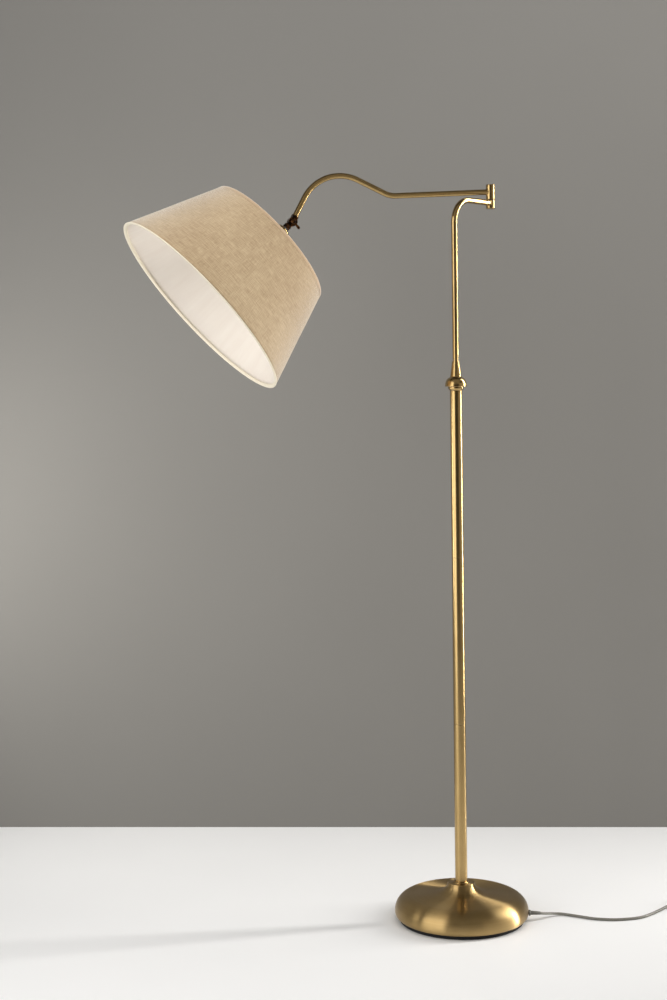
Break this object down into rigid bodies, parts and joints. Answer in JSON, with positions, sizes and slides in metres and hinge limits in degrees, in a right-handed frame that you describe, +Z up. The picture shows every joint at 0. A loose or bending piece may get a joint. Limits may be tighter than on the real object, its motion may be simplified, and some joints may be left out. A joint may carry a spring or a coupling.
{
  "type": "adjustable arm floor lamp",
  "caption": "Floor lamp with a round weighted base, a swinging gooseneck arm and a fabric shade on a clamped swivel.",
  "frame": {"origin": "centre of the underside of the base pad, on the floor", "axes": "+Z up along the pole; the arm points along -X at rest"},
  "size_m": [1.2383, 0.442, 1.549],
  "materials": {
    "satin_brass": "satin antique brass, lacquered",
    "brushed_brass": "spun and brushed antique brass",
    "dark_bronze": "dark oil-rubbed bronze",
    "zinc_steel": "zinc plated",
    "cast_iron": "rough casting",
    "black_foam": "closed-cell foam pad",
    "grey_rubber": "moulded grommet",
    "grey_cord": "satin pvc sheath",
    "lead_pvc": "pvc insulation",
    "linen": "slubby linen weave",
    "white_lining": "smooth white lining",
    "cream_trim": "folded cream edging",
    "white_wire": "white powder coat",
    "porcelain": "glazed ceramic",
    "black_phenolic": "moulded phenolic",
    "opal_glass": "opal glass envelope"
  },
  "bodies": {
    "stand": {"base_pad": "black_foam", "base_weight": "cast_iron", "base_shell": "brushed_brass", "cord_grommet": "grey_rubber", "base_washer": "zinc_steel", "base_nut": "zinc_steel", "base_pipe": "zinc_steel", "pole_foot_ring": "satin_brass", "pole_bottom_bush": "zinc_steel", "pole_lower": "satin_brass", "pole_middle": "satin_brass", "pole_upper": "satin_brass", "pole_coupler_lower": "zinc_steel", "pole_coupler_upper": "zinc_steel", "pole_top_bush": "zinc_steel", "collar_ring": "satin_brass", "collar_body": "satin_brass", "stem_nipple": "zinc_steel", "lower_arm": "satin_brass", "hinge_bottom_cap": "satin_brass", "lower_barrel": "satin_brass", "hinge_washer": "black_phenolic", "hinge_spindle": "zinc_steel", "hinge_spring_washer": "zinc_steel", "hinge_nut": "zinc_steel", "stand_lead": "lead_pvc", "cord_free": "grey_cord", "cord_coil": "grey_cord", "cord_tie": "black_phenolic", "cord_plug": "black_phenolic", "plug_blade_1": "satin_brass", "plug_blade_2": "satin_brass"},
    "arm": {"upper_barrel": "satin_brass", "hinge_top_cap": "satin_brass", "arm_tube": "satin_brass", "swivel_fork": "dark_bronze", "swivel_nut": "dark_bronze", "arm_lead": "lead_pvc"},
    "clamp": {"clamp_lever": "dark_bronze"},
    "head": {"swivel_tongue": "dark_bronze", "head_nipple": "zinc_steel", "socket_cap": "satin_brass", "socket_shell": "black_phenolic", "socket_insulator": "porcelain", "socket_screw_shell": "satin_brass", "socket_contact": "satin_brass", "bulb_base": "zinc_steel", "bulb_glass": "opal_glass", "shade_fabric": "linen", "shade_liner": "white_lining", "shade_top_trim": "cream_trim", "shade_bottom_trim": "cream_trim", "shade_bottom_wire": "white_wire", "shade_spider": "white_wire", "shade_retaining_ring": "black_phenolic", "head_lead": "lead_pvc"},
    "switch": {"switch_shaft": "satin_brass", "switch_knob": "black_phenolic"}
  },
  "joints": [
    {"name": "arm_swing", "type": "hinge", "parent": "stand", "child": "arm", "pos_m": [0.10759, 0.06063, 1.5187], "axis": [0, 0, 1], "range_deg": [-160, 160]},
    {"name": "shade_tilt", "type": "hinge", "parent": "arm", "child": "head", "pos_m": [-0.33195, 0.06063, 1.44543], "axis": [0, 1, 0], "range_deg": [-60, 60]},
    {"name": "clamp_turn", "type": "hinge", "parent": "arm", "child": "clamp", "pos_m": [-0.33195, 0.06063, 1.44543], "axis": [0, 1, 0], "range_deg": [-150, 30]},
    {"name": "switch_turn", "type": "hinge", "parent": "head", "child": "switch", "pos_m": [-0.37376, 0.06063, 1.40818], "axis": [0, 1, 0], "continuous": true}
  ]
}
